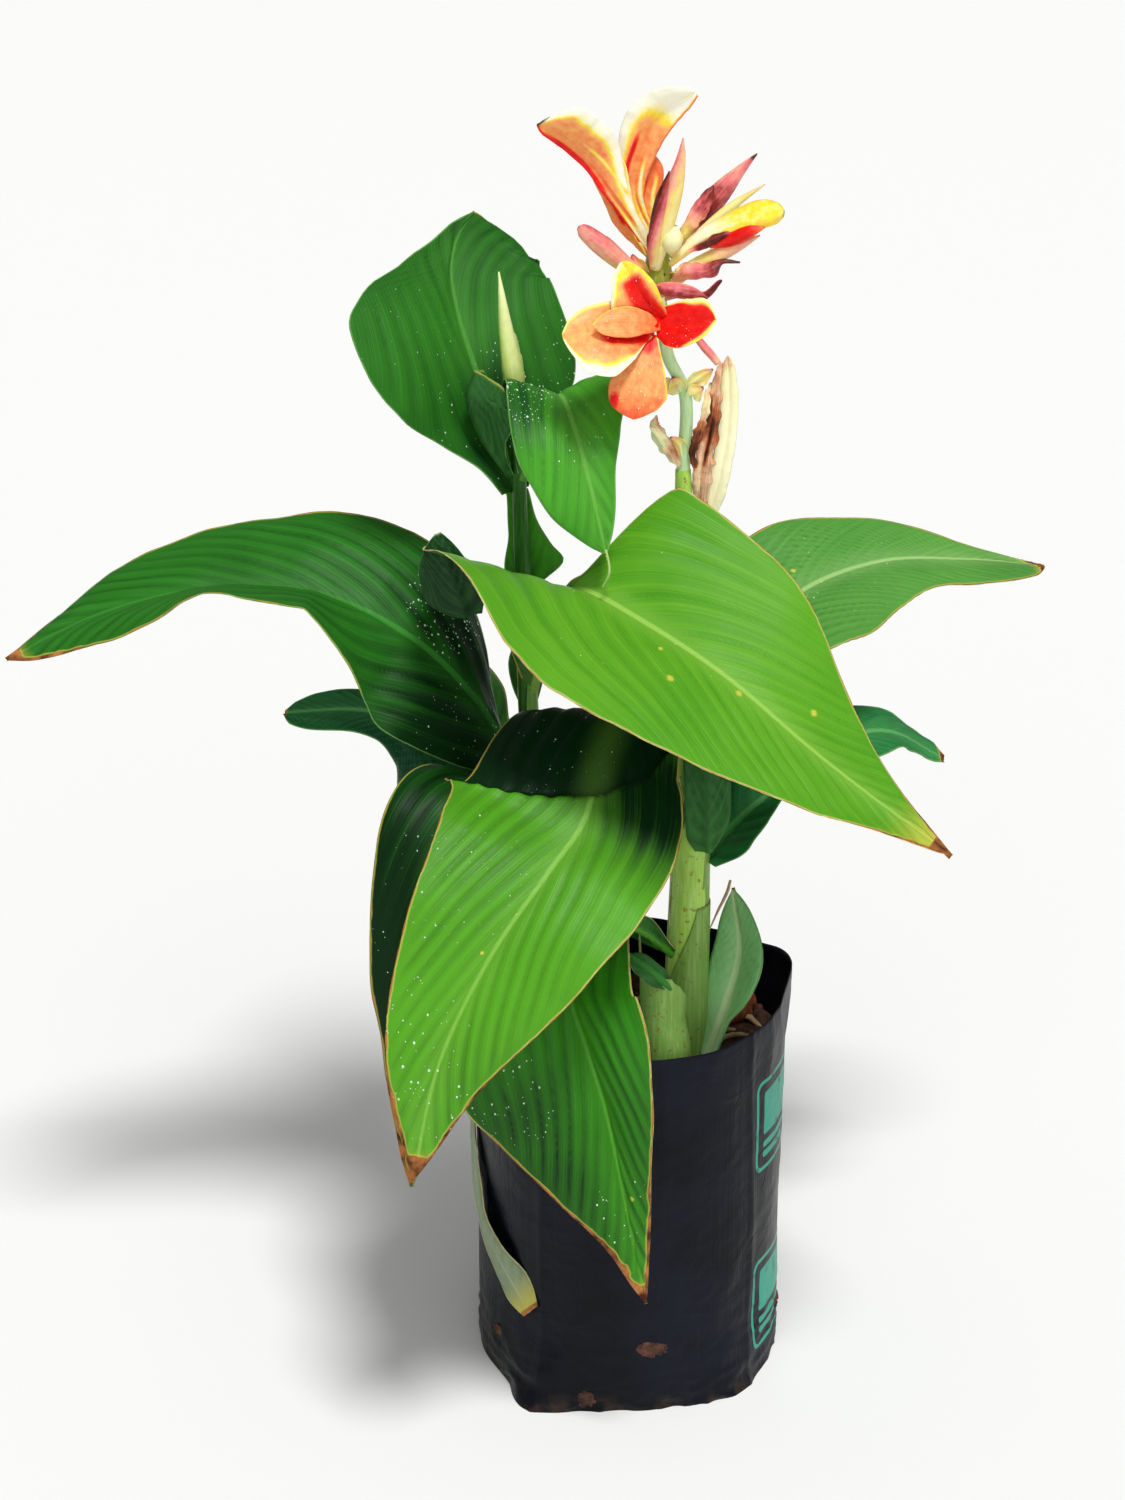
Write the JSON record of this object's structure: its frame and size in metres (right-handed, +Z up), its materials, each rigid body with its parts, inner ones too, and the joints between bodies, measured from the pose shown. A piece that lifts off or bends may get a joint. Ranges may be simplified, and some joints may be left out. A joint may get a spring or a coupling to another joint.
{
  "type": "canna lily",
  "caption": "Flowering canna lily with broad arching leaves, growing in a black plastic nursery bag that stands on its flat underside.",
  "frame": {"origin": "centre of the bag's flat underside", "axes": "+Z up along the stems, -Y towards the front of the bag, +X to the plant's right as seen from the front"},
  "size_m": [0.6267, 0.3695, 0.8146],
  "materials": {
    "bag_film": "satin",
    "potting_soil": "matte",
    "rhizome_bark": "matte",
    "stem_skin": "satin",
    "leaf_blade": "satin",
    "petal": "satin",
    "bud_skin": "satin",
    "dry_bract": "matte"
  },
  "bodies": {
    "root": {"bloom_throat": "petal", "bud_back_right": "bud_skin", "bud_dry_low": "dry_bract", "bud_half_open": "petal", "bud_left": "bud_skin", "bud_small_right": "bud_skin", "bud_tall": "bud_skin", "bud_withered": "dry_bract", "cut_shoot": "stem_skin", "flower_hub": "stem_skin", "flower_stalk": "stem_skin", "grow_bag": "bag_film", "leaf_back": "leaf_blade", "leaf_back_left": "leaf_blade", "leaf_base_right": "leaf_blade", "leaf_crown_back": "leaf_blade", "leaf_crown_front_arch": "leaf_blade", "leaf_crown_front_blade": "leaf_blade", "leaf_far_left_arch": "leaf_blade", "leaf_far_left_blade": "leaf_blade", "leaf_far_right": "leaf_blade", "leaf_front_left_arch": "leaf_blade", "leaf_front_left_blade": "leaf_blade", "leaf_front_low_arch": "leaf_blade", "leaf_front_low_blade": "leaf_blade", "leaf_front_right_arch": "leaf_blade", "leaf_front_right_blade": "leaf_blade", "leaf_left_back": "leaf_blade", "leaf_left_low_arch": "leaf_blade", "leaf_left_low_blade": "leaf_blade", "leaf_old_left_arch": "leaf_blade", "leaf_old_left_blade": "leaf_blade", "leaf_right_back": "leaf_blade", "leaf_roll": "leaf_blade", "left_stem": "stem_skin", "main_stem": "stem_skin", "petal_left": "petal", "petal_lip": "petal", "petal_right": "petal", "petal_top": "petal", "rhizome": "rhizome_bark", "sheath_crown": "leaf_blade", "sheath_lower": "leaf_blade", "sheath_upper": "leaf_blade", "soil_fill": "potting_soil", "stalk_pink": "bud_skin", "tall_petal_left": "petal", "tall_petal_narrow": "petal", "tall_petal_right": "petal", "withered_bract": "dry_bract"}
  },
  "joints": []
}
